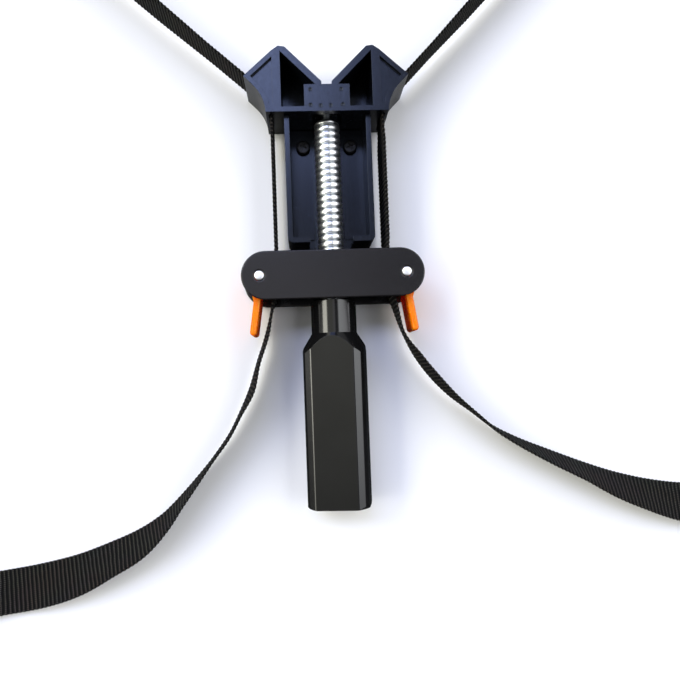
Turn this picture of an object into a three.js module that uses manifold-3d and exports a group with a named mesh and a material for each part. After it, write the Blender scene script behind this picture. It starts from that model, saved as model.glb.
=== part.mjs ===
// Screw-tensioned band clamp for square frames, lying on its back on a bench.
// Millimetres. +X to the right, +Y from the handle towards the work, +Z up from the bench.
// The origin is on the back face of the corner head, behind its thrust block, on the spindle's plane.
// A woven band runs round the work, through the corner head, and down both sides to a crossbar,
// where two cam levers grip it. The spindle turns in the head and moves the crossbar by its nut.

import * as THREE from 'three';
import { mergeVertices } from 'three/addons/utils/BufferGeometryUtils.js';
import Module from 'manifold-3d';

const wasm = await Module();
wasm.setup();

// Shared clearances and overruns
const clearance = 0.3;
const running_clearance = 0.35;
const ring_play = 0.1;
const overrun = 1;

// Band
const band_width = 20;
const band_thickness = 1.4;
const band_edge_margin = 4;
const band_offset_from_work = 20.4;
const band_corridor_side_clearance = 0.35;
const band_corridor_edge_clearance = 0.6;
const band_lead = 6;

// Work that the loop is drawn round, lying a little turned in the head's vee
const work_side = 203;
const work_turn_degrees = 2;

// Corner head
const vee_vertex_y = 5;
const vee_relief_half_width = 2.3;
const vee_face_reach = 18.4;
const vee_rib_thickness = 3;
const head_floor_thickness = 1.9;
const apex_x = 21.3;
const apex_y = 23.8;
const wing_top_x = 24.3;
const wing_top_y = 21.8;
const wing_tip_x = 37.2;
const wing_tip_y = 10.15;
const wing_rib_thickness = 2.2;
const wing_web_thickness = 1.6;
const wing_web_drop = 1.6;
const upright_rib_inner_x = 20.6;
const upright_rib_thickness = 3.8;
const head_bottom_y = -6.3;
const bottom_wall_thickness = 2.3;
const guide_wall_thickness = 1.3;
const guide_rim_thickness = 2.2;
const guide_bend_radius = 20.8;
const thrust_block_half_width = 10.3;
const thrust_block_top_y = 6;
const thrust_recess_half_width = 6.8;
const thrust_recess_depth = 1.5;
const thrust_recess_front_wall = 4;
const ring_pocket_half_width = 4.8;
const ring_pocket_height = 2.4;
const ring_pocket_bottom_y = 2.2;
const tongue_half_width = 14;
const tongue_length = 11;

// Slide channel and its screws
const channel_half_width = 19.7;
const channel_wall = 2.3;
const channel_corner_radius = 2.4;
const channel_inner_corner_radius = 0.8;
const channel_back_thickness = 2;
const channel_end_y = -64.6;
const channel_lip_gap_half = 9.8;
const channel_pad_width = 8.5;
const channel_pad_height = 7.5;
const channel_pad_thickness = 0.8;
const channel_pad_side_inset = 1.9;
const channel_pad_end_inset = 2.3;
const channel_screw_x = 11.3;
const channel_screw_y = -15.2;
const channel_screw_shank_radius = 1.5;
const channel_screw_head_radius = 3.3;
const channel_screw_head_height = 1.9;
const channel_screw_point_inset = 0.5;

// Crossbar
const crossbar_height = 21.7;
const crossbar_top_y = -68.7;
const plate_thickness = 1.8;
const plate_bevel = 0.5;
const back_plate_overhang = 0.8;
const web_thickness = 1.6;
const housing_inset = 0.5;
const nut_block_half_width = 9;
const nut_block_back_clearance = 0.4;
const nut_width = 15;
const nut_length = 12;
const rivet_end_margin = 8;
const rivet_radius = 2.05;
const rivet_head_rise = 0.35;

// Cam levers
const lever_band_inset = 1;
const cam_reach = 6.4;
const cam_contact_gap = 0.35;
const cam_spiral_gain = 0.9;
const cam_spiral_span_degrees = 45;
const cam_teeth = 8;
const cam_tooth_depth = 0.35;
const cam_back_radius = 5.2;
const cam_back_from_degrees = -20;
const cam_back_to_degrees = 90;
const lever_arm_root_thickness = 3.2;
const lever_arm_tip_thickness = 3.1;
const lever_root_x = 34.4;
const lever_tip_x = 36.5;
const lever_tip_y = -105.8;
const lever_release_degrees = 35;
const lever_pocket_margin = 0.6;

// Spindle
const thread_radius = 6;
const thread_core_radius = 4.4;
const thread_pitch = 3;
const thread_crest_width = 1.1;
const thread_flank_width = 0.45;
const thread_top_y = -6.6;
const spindle_neck_radius = 2.3;
const spindle_collar_radius = 5;
const spindle_collar_length = 1.2;
const spindle_groove_radius = 1.6;
const spindle_tip_length = 0.5;
const spindle_stub_radius = 4;
const spindle_stub_length = 24;
const ring_outer_radius = 4;
const ring_thickness = 1;

// Handle
const neck_radius = 10.4;
const neck_length = 14.8;
const cone_length = 9.2;
const cone_end_radius = 16.1;
const grip_end_y = -184.3;
const grip_half_width = 13.9;
const grip_half_depth = 11.2;
const grip_corner_radius = 4.3;
const grip_corner_faces = 2;
const grip_end_chamfer = 1.6;
const handle_rest_turn_degrees = 10;

// Loose corner jaws
const jaw_band_offset = 23.5;
const jaw_arm_reach = 24;
const jaw_arm_fall_degrees = 3;
const jaw_flange_rise = 2.4;
const jaw_flange_thickness = 3.2;
const jaw_wall = 2.4;

// Steps on round shapes
const thread_steps = 14;
const round_steps = 32;
const small_round_steps = 20;
const bend_steps = 8;
const loop_steps = 24;

// Places worked out from the sizes above
const root_two = Math.SQRT2;
const band_half = band_thickness / 2;
const band_bottom_z = band_edge_margin;
const band_top_z = band_bottom_z + band_width;
const head_depth = band_top_z + band_edge_margin;
const spindle_z = head_depth / 2;
const side_run_x = upright_rib_inner_x + upright_rib_thickness + clearance + band_half;
const guide_corner_y = vee_vertex_y + side_run_x - band_offset_from_work * root_two;
const guide_tangent = guide_bend_radius * Math.tan(Math.PI / 8);
const guide_bend = new THREE.Vector2(side_run_x + guide_bend_radius, guide_corner_y - guide_tangent);
const crossbar_bottom_y = crossbar_top_y - crossbar_height;
const crossbar_middle_y = (crossbar_top_y + crossbar_bottom_y) / 2;
const rivet_x = side_run_x + band_half + cam_contact_gap + cam_reach;
const crossbar_length = 2 * (rivet_x + rivet_end_margin);
const front_plate_bottom_z = head_depth - plate_thickness;
const web_top_z = front_plate_bottom_z - clearance;
const web_bottom_z = web_top_z - web_thickness;
const housing_bottom_z = plate_thickness + clearance;
const channel_back_z = head_floor_thickness + clearance;
const channel_floor_z = channel_back_z + channel_back_thickness;
const channel_front_z = band_top_z;
const channel_top_y = head_bottom_y - clearance;
const anvil_face_x = side_run_x - band_half - clearance;
const side_block_inner_x = channel_half_width + clearance;
const lever_bottom_z = band_bottom_z + lever_band_inset;
const lever_top_z = band_top_z - lever_band_inset;
const handle_top_y = crossbar_bottom_y - clearance;
const neck_end_y = handle_top_y - neck_length;
const cone_end_y = neck_end_y - cone_length;
const work_corner_reach = work_side / root_two;
const work_turn = THREE.MathUtils.degToRad(work_turn_degrees);

// The work's three free corners, each with the turn of the jaw that holds it
const free_corners = [
  ['left', -work_corner_reach, work_corner_reach, 90],
  ['top', 0, 2 * work_corner_reach, 0],
  ['right', work_corner_reach, work_corner_reach, -90],
].map(([name, x, y, turn_degrees]) => {
  const corner = new THREE.Vector2(x, y).rotateAround(new THREE.Vector2(), work_turn);
  return { name, x: corner.x, y: vee_vertex_y + corner.y, turn_degrees: turn_degrees + work_turn_degrees };
});

// Materials
function finish(colour, roughness, metalness) {
  return () => new THREE.MeshStandardMaterial({ color: colour, roughness, metalness });
}
const black_moulding = finish(0x26272c, 0.55, 0);
const charcoal_plate = finish(0x3a393e, 0.45, 0.2);
const gloss_black = finish(0x121214, 0.2, 0);
const black_oxide = finish(0x1d1d20, 0.5, 0.3);
const zinc = finish(0xc9ccd0, 0.3, 0.9);
const bright_steel = finish(0xdedfe2, 0.25, 0.95);
const orange_moulding = finish(0xf26a10, 0.4, 0);
const black_webbing = finish(0x1a1a1c, 0.9, 0);

const clamp = new THREE.Group();

// A closed three.js geometry as a solid that can be joined and cut
function solid_of(geometry) {
  const bare = geometry.index ? geometry.toNonIndexed() : geometry.clone();
  bare.deleteAttribute('normal');
  bare.deleteAttribute('uv');
  const merged = mergeVertices(bare, 1e-4);
  const vertProperties = new Float32Array(merged.attributes.position.array);
  const triVerts = new Uint32Array(merged.index.array);
  return new wasm.Manifold(new wasm.Mesh({ numProp: 3, vertProperties, triVerts }));
}

// The solid's surface as a three.js geometry
function geometry_of(solid) {
  const mesh = solid.getMesh();
  const geometry = new THREE.BufferGeometry();
  geometry.setAttribute('position', new THREE.BufferAttribute(new Float32Array(mesh.vertProperties), 3));
  geometry.setIndex(new THREE.BufferAttribute(new Uint32Array(mesh.triVerts), 1));
  return geometry;
}

function add_piece(name, shape, material) {
  const geometry = shape.isBufferGeometry ? shape : geometry_of(shape);
  const mesh = new THREE.Mesh(geometry, material());
  mesh.name = name;
  clamp.add(mesh);
  return mesh;
}

function join(...solids) {
  return solids.reduce((whole, solid) => whole.add(solid));
}

// Flat outline of [x, y] points, drawn up from one height to another
function slab(points, bottom_z, top_z) {
  const shape = new THREE.Shape(points.map(([x, y]) => new THREE.Vector2(x, y)));
  const geometry = new THREE.ExtrudeGeometry(shape, { depth: top_z - bottom_z, bevelEnabled: false });
  geometry.translate(0, 0, bottom_z);
  return solid_of(geometry);
}

function box(x0, x1, y0, y1, z0, z1) {
  return slab([[x0, y0], [x1, y0], [x1, y1], [x0, y1]], z0, z1);
}

// Box given for the right side and put on either side
function side_box(side, x0, x1, y0, y1, z0, z1) {
  return box(side * x0, side * x1, y0, y1, z0, z1);
}

function post(x, y, radius, bottom_z, top_z, steps = small_round_steps) {
  const geometry = new THREE.CylinderGeometry(radius, radius, top_z - bottom_z, steps);
  geometry.rotateX(Math.PI / 2);
  geometry.translate(x, y, (top_z + bottom_z) / 2);
  return solid_of(geometry);
}

// Revolve about the spindle's axis from [radius, y] points that start and end on the axis
function revolve(profile, steps = round_steps) {
  const geometry = new THREE.LatheGeometry(profile.map(([r, y]) => new THREE.Vector2(r, y)), steps);
  geometry.translate(0, 0, spindle_z);
  return solid_of(geometry);
}

function arc(centre_x, centre_y, radius, from_degrees, to_degrees, steps) {
  const points = [];
  for (let step = 0; step <= steps; step += 1) {
    const angle = THREE.MathUtils.degToRad(from_degrees + ((to_degrees - from_degrees) * step) / steps);
    points.push([centre_x + radius * Math.cos(angle), centre_y + radius * Math.sin(angle)]);
  }
  return points;
}

function on_side(side, points) {
  return points.map(([x, y]) => [side * x, y]);
}

// Both edges of a flat path of [x, y] points, as one closed outline of the given thickness
function ribbon_outline(path, thickness) {
  const left = [];
  const right = [];
  path.forEach(([x, y], index) => {
    const before = path[Math.max(index - 1, 0)];
    const after = path[Math.min(index + 1, path.length - 1)];
    const incoming = new THREE.Vector2(x - before[0], y - before[1]).normalize();
    const outgoing = new THREE.Vector2(after[0] - x, after[1] - y).normalize();
    const along = incoming.clone().add(outgoing).normalize();
    const spread = thickness / 2 / along.dot(index ? incoming : outgoing);
    left.push([x - along.y * spread, y + along.x * spread]);
    right.push([x + along.y * spread, y - along.x * spread]);
  });
  return [...left, ...right.reverse()];
}

// The band's way through the right guide, from the side run up to the wing tip
const guide_arc = arc(guide_bend.x, guide_bend.y, guide_bend_radius, 180, 135, bend_steps);
const guide_arc_end = guide_arc[guide_arc.length - 1];

// Corner head
function head_outline() {
  const wall_radius = guide_bend_radius - band_half - clearance - guide_wall_thickness;
  const bottom_rise = Math.asin((head_bottom_y - guide_bend.y) / wall_radius);
  const bottom_angle = 180 - THREE.MathUtils.radToDeg(bottom_rise);
  const right = [
    ...arc(guide_bend.x, guide_bend.y, wall_radius, bottom_angle, 135, bend_steps),
    [wing_tip_x, wing_tip_y],
    [wing_top_x, wing_top_y],
    [apex_x, apex_y],
    [vee_face_reach, vee_vertex_y + vee_face_reach],
    [vee_relief_half_width, vee_vertex_y + vee_relief_half_width],
    [vee_relief_half_width, thrust_block_top_y],
  ];
  return [...right, ...on_side(-1, right).reverse()];
}

function wing_pocket(side, wall) {
  const rib_outer_x = upright_rib_inner_x + upright_rib_thickness;
  const wall_radius = guide_bend_radius - band_half - clearance - guide_wall_thickness + wall;
  const wing_slope = (wing_tip_y - wing_top_y) / (wing_tip_x - wing_top_x);
  const wing_drop = wing_rib_thickness * Math.hypot(1, wing_slope);
  const lower = arc(guide_bend.x, guide_bend.y, wall_radius, 180, 135, bend_steps)
    .filter(([x, y]) => x > rib_outer_x && y > head_bottom_y + bottom_wall_thickness);
  const last = lower[lower.length - 1];
  const meet = (wing_top_y - wing_drop - wing_slope * wing_top_x - (last[1] - last[0])) / (1 - wing_slope);
  const lower_left_y = Math.max(head_bottom_y + bottom_wall_thickness, lower[0][1]);
  return on_side(side, [
    [rib_outer_x, lower_left_y],
    ...lower,
    [meet, meet + last[1] - last[0]],
    [rib_outer_x, wing_top_y - wing_drop + wing_slope * (rib_outer_x - wing_top_x)],
  ]);
}

function inner_pocket(side) {
  const rib_line = vee_vertex_y - vee_rib_thickness * root_two;
  const bottom_y = head_bottom_y + bottom_wall_thickness;
  return on_side(side, [
    [thrust_block_half_width, bottom_y],
    [upright_rib_inner_x, bottom_y],
    [upright_rib_inner_x, rib_line + upright_rib_inner_x],
    [thrust_block_top_y - rib_line, thrust_block_top_y],
    [thrust_block_half_width, thrust_block_top_y],
  ]);
}

// Way of the band through one guide, longer than the head at both ends
function guide_path(side, run) {
  const end = guide_arc_end;
  const path = [[side_run_x, guide_arc[0][1] - run], ...guide_arc, [end[0] + run, end[1] + run]];
  return on_side(side, path);
}

function corner_head() {
  const web_top = head_depth - wing_web_drop;
  const web_bottom = web_top - wing_web_thickness;
  const ring_top_z = spindle_z + ring_outer_radius + clearance;
  const corridor = band_thickness + 2 * band_corridor_side_clearance;
  let head = slab(head_outline(), 0, head_depth);
  for (const side of [-1, 1]) {
    head = head.subtract(slab(inner_pocket(side), head_floor_thickness, head_depth + overrun));
    head = head.subtract(slab(wing_pocket(side, guide_rim_thickness), web_top, head_depth + overrun));
    head = head.subtract(slab(wing_pocket(side, guide_wall_thickness), head_floor_thickness, web_bottom));
    head = head.subtract(slab(
      ribbon_outline(guide_path(side, head_depth), corridor),
      band_bottom_z - band_corridor_edge_clearance,
      band_top_z + band_corridor_edge_clearance,
    ));
  }
  const recess_top_y = head_bottom_y + bottom_wall_thickness + thrust_recess_depth;
  head = head.subtract(box(
    -thrust_recess_half_width, thrust_recess_half_width, head_bottom_y - overrun, recess_top_y,
    head_floor_thickness, head_depth - thrust_recess_front_wall,
  ));
  head = head.subtract(box(
    -ring_pocket_half_width, ring_pocket_half_width,
    ring_pocket_bottom_y, ring_pocket_bottom_y + ring_pocket_height, -overrun, ring_top_z,
  ));
  head = head.subtract(revolve([
    [0, head_bottom_y],
    [spindle_neck_radius + running_clearance, head_bottom_y],
    [spindle_neck_radius + running_clearance, ring_pocket_bottom_y + ring_pocket_height / 2],
    [0, ring_pocket_bottom_y + ring_pocket_height / 2],
  ], small_round_steps));
  head = head.add(box(
    -tongue_half_width, tongue_half_width,
    head_bottom_y - tongue_length, head_bottom_y + overrun, 0, head_floor_thickness,
  ));
  for (const side of [-1, 1]) {
    head = head.subtract(post(
      side * channel_screw_x, channel_screw_y,
      channel_screw_shank_radius + clearance, -overrun, head_floor_thickness + overrun,
    ));
  }
  return head;
}

// Outline with a square top and two rounded lower corners
function channel_outline(half_width, end_y, top_y, radius) {
  return [
    [half_width, top_y],
    [-half_width, top_y],
    ...arc(radius - half_width, end_y + radius, radius, 180, 270, bend_steps),
    ...arc(half_width - radius, end_y + radius, radius, 270, 360, bend_steps),
  ];
}

// Slide channel under the head, its end lips and moulded pads
function slide_channel() {
  const inner = channel_half_width - channel_wall;
  const inner_end_y = channel_end_y + channel_wall;
  const outside = channel_outline(channel_half_width, channel_end_y, channel_top_y, channel_corner_radius);
  const inside = channel_outline(inner, inner_end_y, channel_top_y + overrun, channel_inner_corner_radius);
  let channel = slab(outside, channel_back_z, channel_front_z)
    .subtract(slab(inside, channel_floor_z, channel_front_z + overrun))
    .subtract(box(
      -channel_lip_gap_half, channel_lip_gap_half, channel_end_y - overrun, inner_end_y + overrun,
      channel_floor_z, channel_front_z + overrun,
    ));
  for (const side of [-1, 1]) {
    const pad_outer = inner - channel_pad_side_inset;
    const pad_bottom_y = inner_end_y + channel_pad_end_inset;
    channel = join(channel, side_box(
      side, pad_outer - channel_pad_width, pad_outer, pad_bottom_y, pad_bottom_y + channel_pad_height,
      channel_back_z, channel_floor_z + channel_pad_thickness,
    ));
    channel = channel.subtract(post(
      side * channel_screw_x, channel_screw_y,
      channel_screw_shank_radius + clearance, 0, channel_floor_z + overrun,
    ));
  }
  return channel;
}

function channel_screw(side) {
  const x = side * channel_screw_x;
  const head_bottom = channel_floor_z + clearance;
  return join(
    post(x, channel_screw_y, channel_screw_shank_radius, channel_screw_point_inset, head_bottom + clearance),
    post(x, channel_screw_y, channel_screw_head_radius, head_bottom, head_bottom + channel_screw_head_height),
  );
}

// Crossbar
function stadium(inset) {
  const radius = crossbar_height / 2 - inset;
  const centre_x = crossbar_length / 2 - crossbar_height / 2;
  return [
    ...arc(centre_x, crossbar_middle_y, radius, -90, 90, round_steps / 2),
    ...arc(-centre_x, crossbar_middle_y, radius, 90, 270, round_steps / 2),
  ];
}

function crossbar_plate(bottom_z, bevel_up, overhang) {
  const flat = plate_thickness - plate_bevel;
  const outline = stadium(plate_bevel - overhang);
  const shape = new THREE.Shape(outline.map(([x, y]) => new THREE.Vector2(x, y)));
  const geometry = new THREE.ExtrudeGeometry(shape, {
    depth: flat - plate_bevel,
    bevelThickness: plate_bevel,
    bevelSize: plate_bevel,
    bevelSegments: 1,
  });
  geometry.translate(0, 0, bottom_z + plate_bevel);
  let plate = solid_of(geometry);
  const square_edge_z = bevel_up ? bottom_z : bottom_z + plate_bevel;
  plate = plate.add(slab(stadium(-overhang), square_edge_z, square_edge_z + flat));
  for (const side of [-1, 1]) {
    plate = plate.subtract(post(
      side * rivet_x, crossbar_middle_y, rivet_radius + clearance,
      bottom_z - overrun, bottom_z + plate_thickness + overrun,
    ));
  }
  return plate;
}

// Room for the band, the cam and the lever's swing in one end of the housing
function lever_pocket(side) {
  const pocket_radius = cam_reach + cam_spiral_gain + lever_pocket_margin;
  const swing = THREE.MathUtils.degToRad(lever_release_degrees);
  const arm_clear = lever_arm_root_thickness / 2 + lever_pocket_margin;
  const low_y = crossbar_bottom_y - overrun;
  const drop = crossbar_middle_y - low_y;
  const outer_low_x = rivet_x + drop * Math.tan(swing) + arm_clear / Math.cos(swing) + lever_pocket_margin;
  return on_side(side, [
    [anvil_face_x, low_y],
    [outer_low_x + crossbar_height / 2, low_y],
    [outer_low_x + crossbar_height / 2, crossbar_middle_y - pocket_radius * Math.sin(swing)],
    ...arc(rivet_x, crossbar_middle_y, pocket_radius, -lever_release_degrees, 180, round_steps / 2),
    [anvil_face_x, crossbar_middle_y],
  ]);
}

function housing_block() {
  let housing = slab(stadium(housing_inset), housing_bottom_z, web_top_z);
  const channel_room_top_z = channel_front_z + clearance;
  housing = housing.subtract(box(
    -side_block_inner_x, side_block_inner_x, crossbar_bottom_y - overrun, crossbar_top_y + overrun,
    housing_bottom_z - overrun, channel_room_top_z,
  ));
  for (const side of [-1, 1]) {
    housing = housing.subtract(slab(lever_pocket(side), housing_bottom_z - overrun, web_bottom_z));
    housing = housing.subtract(side_box(
      side, anvil_face_x, side_run_x + band_half + clearance,
      crossbar_bottom_y - overrun, crossbar_top_y + overrun, housing_bottom_z - overrun, web_bottom_z,
    ));
    housing = housing.subtract(post(
      side * rivet_x, crossbar_middle_y, rivet_radius + clearance, 0, web_top_z + overrun,
    ));
  }
  const block_bottom_z = channel_floor_z + channel_pad_thickness + nut_block_back_clearance;
  housing = housing.add(box(
    -nut_block_half_width, nut_block_half_width,
    crossbar_bottom_y + housing_inset, crossbar_top_y - housing_inset, block_bottom_z, web_top_z,
  ));
  const pocket = nut_width / 2 + clearance;
  housing = housing.subtract(box(
    -pocket, pocket,
    crossbar_middle_y - nut_length / 2 - clearance, crossbar_middle_y + nut_length / 2 + clearance,
    block_bottom_z - overrun, spindle_z + pocket,
  ));
  return housing.subtract(revolve([
    [0, crossbar_bottom_y - overrun],
    [thread_radius + running_clearance, crossbar_bottom_y - overrun],
    [thread_radius + running_clearance, crossbar_top_y + overrun],
    [0, crossbar_top_y + overrun],
  ]));
}

function spindle_nut() {
  const half = nut_width / 2;
  const bottom_y = crossbar_middle_y - nut_length / 2;
  const top_y = crossbar_middle_y + nut_length / 2;
  return box(-half, half, bottom_y, top_y, spindle_z - half, spindle_z + half).subtract(revolve([
    [0, bottom_y - overrun],
    [thread_radius + running_clearance, bottom_y - overrun],
    [thread_radius + running_clearance, top_y + overrun],
    [0, top_y + overrun],
  ]));
}

function pivot_rivet(side) {
  const dome = new THREE.SphereGeometry(rivet_radius, small_round_steps, round_steps / 4);
  dome.rotateX(Math.PI / 2);
  dome.scale(1, 1, rivet_head_rise / rivet_radius);
  dome.translate(side * rivet_x, crossbar_middle_y, head_depth);
  return join(
    post(side * rivet_x, crossbar_middle_y, rivet_radius, plate_bevel, head_depth),
    solid_of(dome),
  );
}

// Cam lever: a spiral cam with small teeth towards the band, and an arm that leaves below the crossbar
function cam_lever(side) {
  const span = cam_spiral_span_degrees;
  const cam = [];
  for (let step = 0; step <= 2 * cam_teeth; step += 1) {
    const from_band = span - (span * step) / cam_teeth;
    const angle = THREE.MathUtils.degToRad(180 - from_band);
    const tooth = step % 2 ? 0 : cam_tooth_depth;
    const reach = cam_reach - (cam_spiral_gain * from_band) / span - tooth;
    cam.push([rivet_x + reach * Math.cos(angle), crossbar_middle_y + reach * Math.sin(angle)]);
  }
  const arm = lever_arm_root_thickness / 2;
  const tip = lever_arm_tip_thickness / 2;
  const lean = Math.atan2(lever_tip_x - lever_root_x, crossbar_bottom_y - lever_tip_y);
  const lean_degrees = THREE.MathUtils.radToDeg(lean);
  const tip_centre_y = lever_tip_y + tip;
  const outline = [
    ...cam,
    [lever_root_x - arm, crossbar_bottom_y + cam_back_radius / 2],
    [lever_root_x - arm, crossbar_bottom_y],
    ...arc(lever_tip_x, tip_centre_y, tip, 180 + lean_degrees, 360 + lean_degrees, bend_steps),
    [lever_root_x + arm, crossbar_bottom_y],
    ...arc(
      rivet_x, crossbar_middle_y, cam_back_radius,
      cam_back_from_degrees, cam_back_to_degrees, bend_steps,
    ),
  ];
  const lever = slab(on_side(side, outline), lever_bottom_z, lever_top_z);
  return lever.subtract(post(
    side * rivet_x, crossbar_middle_y, rivet_radius + clearance,
    lever_bottom_z - overrun, lever_top_z + overrun,
  ));
}

// Helical surface of the thread, a little longer than the rod, with each end drawn to the axis
function thread_surface(bottom_y, top_y) {
  const root_width = thread_pitch - thread_crest_width - 2 * thread_flank_width;
  const profile = [
    [thread_core_radius, 0],
    [thread_core_radius, root_width],
    [thread_radius, root_width + thread_flank_width],
    [thread_radius, root_width + thread_flank_width + thread_crest_width],
  ];
  const breaks = profile.length;
  const turns = Math.ceil((top_y - bottom_y) / thread_pitch) + 2;
  const rows = turns * breaks;
  const start_y = bottom_y - 2 * thread_pitch;
  const positions = [];
  for (let column = 0; column < thread_steps; column += 1) {
    const share = column / thread_steps;
    const angle = 2 * Math.PI * share;
    for (let row = 0; row <= rows; row += 1) {
      const [radius, rise] = profile[row % breaks];
      const y = start_y + (Math.floor(row / breaks) + share) * thread_pitch + rise;
      positions.push(radius * Math.cos(angle), y, spindle_z - radius * Math.sin(angle));
    }
  }
  const point = (column, row) => (column < thread_steps
    ? column * (rows + 1) + row
    : row + breaks);
  const low_tip = positions.length / 3;
  const high_tip = low_tip + 1;
  positions.push(0, start_y - thread_pitch, spindle_z);
  positions.push(0, start_y + (turns + 2) * thread_pitch, spindle_z);
  const indices = [];
  for (let column = 0; column < thread_steps; column += 1) {
    const last_row = column === thread_steps - 1 ? rows - breaks : rows;
    for (let row = 0; row < last_row; row += 1) {
      const a = point(column, row);
      const b = point(column + 1, row);
      const c = point(column + 1, row + 1);
      const d = point(column, row + 1);
      indices.push(a, b, c, a, c, d);
    }
    indices.push(low_tip, point(column + 1, 0), point(column, 0));
    if (column < thread_steps - 1) {
      indices.push(high_tip, point(column, rows), point(column + 1, rows));
    }
  }
  const last = thread_steps - 1;
  indices.push(high_tip, point(last, rows - breaks), point(0, rows));
  for (let row = 0; row < breaks; row += 1) {
    indices.push(low_tip, point(0, row), point(0, row + 1));
    indices.push(high_tip, point(last, rows - row), point(last, rows - row - 1));
  }
  const geometry = new THREE.BufferGeometry();
  geometry.setAttribute('position', new THREE.BufferAttribute(new Float32Array(positions), 3));
  geometry.setIndex(indices);
  return solid_of(geometry);
}

// Spindle: threaded rod, thin neck with a thrust collar and a ring groove, plain stub in the handle
function spindle() {
  const collar_top_y = head_bottom_y + bottom_wall_thickness + thrust_recess_depth - clearance;
  const collar_bottom_y = collar_top_y - spindle_collar_length;
  const groove_bottom_y = ring_pocket_bottom_y + clearance;
  const groove_top_y = groove_bottom_y + ring_thickness + 2 * ring_play;
  const tip_y = groove_top_y + spindle_tip_length;
  const stub_end_y = handle_top_y - spindle_stub_length;
  const threaded = thread_surface(handle_top_y, thread_top_y).intersect(revolve([
    [0, handle_top_y],
    [thread_core_radius, handle_top_y],
    [thread_radius + overrun, handle_top_y + thread_pitch],
    [thread_radius + overrun, thread_top_y - thread_pitch / 2],
    [thread_core_radius, thread_top_y],
    [0, thread_top_y],
  ], thread_steps));
  return threaded.add(revolve([
    [0, stub_end_y],
    [spindle_stub_radius, stub_end_y],
    [spindle_stub_radius, handle_top_y + thread_pitch],
    [0, handle_top_y + thread_pitch],
  ], small_round_steps)).add(revolve([
    [0, thread_top_y - thread_pitch],
    [spindle_neck_radius, thread_top_y - thread_pitch],
    [spindle_neck_radius, collar_bottom_y],
    [spindle_collar_radius, collar_bottom_y],
    [spindle_collar_radius, collar_top_y],
    [spindle_neck_radius, collar_top_y],
    [spindle_neck_radius, groove_bottom_y],
    [spindle_groove_radius, groove_bottom_y],
    [spindle_groove_radius, groove_top_y],
    [spindle_neck_radius, groove_top_y],
    [spindle_neck_radius, tip_y],
    [0, tip_y],
  ], small_round_steps));
}

// Open ring in the groove, pushed on from the back
function retaining_ring() {
  const bottom_y = ring_pocket_bottom_y + clearance + ring_play;
  const top_y = bottom_y + ring_thickness;
  const disc = revolve([
    [0, bottom_y],
    [ring_outer_radius, bottom_y],
    [ring_outer_radius, top_y],
    [0, top_y],
  ], small_round_steps);
  const hole = revolve([
    [0, bottom_y - overrun],
    [spindle_groove_radius + clearance, bottom_y - overrun],
    [spindle_groove_radius + clearance, top_y + overrun],
    [0, top_y + overrun],
  ], small_round_steps);
  const mouth_half = spindle_groove_radius + clearance;
  return disc.subtract(hole).subtract(box(
    -mouth_half, mouth_half, bottom_y - overrun, top_y + overrun,
    spindle_z, spindle_z + ring_outer_radius + overrun,
  ));
}

// Handle: a revolve cut by a grip with four flats and two narrow faces at each corner
function handle() {
  const turned = revolve([
    [0, grip_end_y],
    [cone_end_radius - grip_end_chamfer, grip_end_y],
    [cone_end_radius, grip_end_y + grip_end_chamfer],
    [cone_end_radius, cone_end_y],
    [neck_radius, neck_end_y],
    [neck_radius, handle_top_y],
    [0, handle_top_y],
  ]);
  const flat_x = grip_half_width - grip_corner_radius;
  const flat_z = grip_half_depth - grip_corner_radius;
  const corners = [[flat_x, flat_z, 0], [-flat_x, flat_z, 90], [-flat_x, -flat_z, 180], [flat_x, -flat_z, 270]];
  const section = new THREE.Shape(corners.flatMap(([x, z, from]) => (
    arc(x, z, grip_corner_radius, from, from + 90, grip_corner_faces)
  )).map(([x, z]) => new THREE.Vector2(x, z)));
  const length = handle_top_y - grip_end_y + 2 * overrun;
  const prism = new THREE.ExtrudeGeometry(section, { depth: length, bevelEnabled: false });
  prism.rotateX(Math.PI / 2);
  prism.translate(0, handle_top_y + overrun, 0);
  prism.rotateY(THREE.MathUtils.degToRad(-handle_rest_turn_degrees));
  prism.translate(0, 0, spindle_z);
  const bore_radius = spindle_stub_radius + clearance;
  return turned.intersect(solid_of(prism)).subtract(revolve([
    [0, handle_top_y - spindle_stub_length - clearance],
    [bore_radius, handle_top_y - spindle_stub_length - clearance],
    [bore_radius, handle_top_y + overrun],
    [0, handle_top_y + overrun],
  ], small_round_steps));
}

// Loose corner jaw: a 90 degree vee on a rounded back with two flanges that keep the band on.
// Its arms fall away from the nose, so that a band that leaves at a slant clears them.
const jaw_arm_fall = THREE.MathUtils.degToRad(jaw_arm_fall_degrees);

// Distance from the work to a line that leaves a nose of the given radius and falls away along the arm
function fallen(radius, distance) {
  return radius / Math.cos(jaw_arm_fall) - distance * Math.tan(jaw_arm_fall);
}

function jaw_outline(back_radius) {
  const reach = jaw_arm_reach / root_two;
  const back = fallen(back_radius, jaw_arm_reach) / root_two;
  const nose_from = 45 - jaw_arm_fall_degrees;
  return [
    [vee_relief_half_width, -vee_relief_half_width],
    [reach, -reach],
    [reach + back, -reach + back],
    ...arc(0, 0, back_radius, nose_from, 180 - nose_from, 2 * bend_steps),
    [-reach - back, -reach + back],
    [-reach, -reach],
    [-vee_relief_half_width, -vee_relief_half_width],
    [-vee_relief_half_width, 0],
    [vee_relief_half_width, 0],
  ];
}

function jaw_pocket(side) {
  const inner = jaw_band_offset - band_half - clearance - jaw_wall;
  const start = 2 * jaw_wall;
  const end = jaw_arm_reach - jaw_wall;
  const along = (distance, offset) => [
    side * (distance + offset) / root_two,
    (offset - distance) / root_two,
  ];
  return [
    along(start, vee_rib_thickness),
    along(end, vee_rib_thickness),
    along(end, fallen(inner, end)),
    along(start, fallen(inner, start)),
  ];
}

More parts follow.
